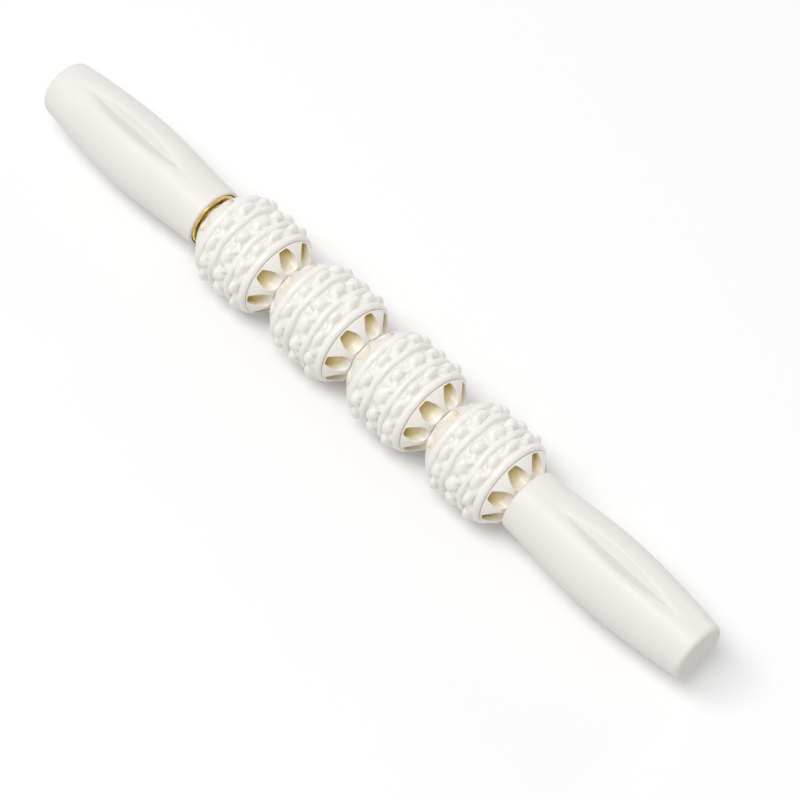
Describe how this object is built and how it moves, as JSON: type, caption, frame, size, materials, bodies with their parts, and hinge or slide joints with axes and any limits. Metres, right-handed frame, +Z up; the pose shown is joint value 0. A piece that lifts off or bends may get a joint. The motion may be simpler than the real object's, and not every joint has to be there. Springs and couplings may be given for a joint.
{
  "type": "massage roller stick",
  "caption": "Hand-held massage stick: knobbly net-covered rollers that spin freely on a steel rod between two tapered moulded handles with brass collars.",
  "frame": {"origin": "middle of the stick, on the rod's axis, half way between the two end faces", "axes": "+X along the rod towards the right handle, +Z up through the leaf groove on top of each handle"},
  "size_m": [0.42, 0.0496, 0.0496],
  "materials": {
    "handle_ivory": "satin ivory-white moulded plastic",
    "cage_ivory": "glossy ivory moulded plastic",
    "net_ivory": "smooth glossy ivory elastomer",
    "collar_brass": "polished brass",
    "rod_steel": "drawn steel",
    "bush_nylon": "natural nylon",
    "liner_grey": "grey moulded plastic"
  },
  "bodies": {
    "stick": {"core_rod": "rod_steel", "handle_left": "handle_ivory", "handle_right": "handle_ivory", "collar_left": "collar_brass", "collar_right": "collar_brass", "handle_liner_left": "liner_grey", "handle_liner_right": "liner_grey", "rod_washer_left": "rod_steel", "rod_washer_right": "rod_steel", "rod_screw_left": "rod_steel", "rod_screw_right": "rod_steel", "spacer_1": "bush_nylon", "spacer_2": "bush_nylon", "spacer_3": "bush_nylon", "spacer_4": "bush_nylon", "spacer_5": "bush_nylon"},
    "roller_1": {"roller_1_net": "net_ivory", "roller_1_cage_left": "cage_ivory", "roller_1_cage_right": "cage_ivory", "roller_1_bush": "bush_nylon"},
    "roller_2": {"roller_2_net": "net_ivory", "roller_2_cage_left": "cage_ivory", "roller_2_cage_right": "cage_ivory", "roller_2_bush": "bush_nylon"},
    "roller_3": {"roller_3_net": "net_ivory", "roller_3_cage_left": "cage_ivory", "roller_3_cage_right": "cage_ivory", "roller_3_bush": "bush_nylon"},
    "roller_4": {"roller_4_net": "net_ivory", "roller_4_cage_left": "cage_ivory", "roller_4_cage_right": "cage_ivory", "roller_4_bush": "bush_nylon"}
  },
  "joints": [
    {"name": "roller_1_spin", "type": "hinge", "parent": "stick", "child": "roller_1", "pos_m": [-0.0765, 0, 0], "axis": [1, 0, 0], "continuous": true},
    {"name": "roller_2_spin", "type": "hinge", "parent": "stick", "child": "roller_2", "pos_m": [-0.0251, 0, 0], "axis": [1, 0, 0], "continuous": true},
    {"name": "roller_3_spin", "type": "hinge", "parent": "stick", "child": "roller_3", "pos_m": [0.0263, 0, 0], "axis": [1, 0, 0], "continuous": true},
    {"name": "roller_4_spin", "type": "hinge", "parent": "stick", "child": "roller_4", "pos_m": [0.0777, 0, 0], "axis": [1, 0, 0], "continuous": true}
  ]
}
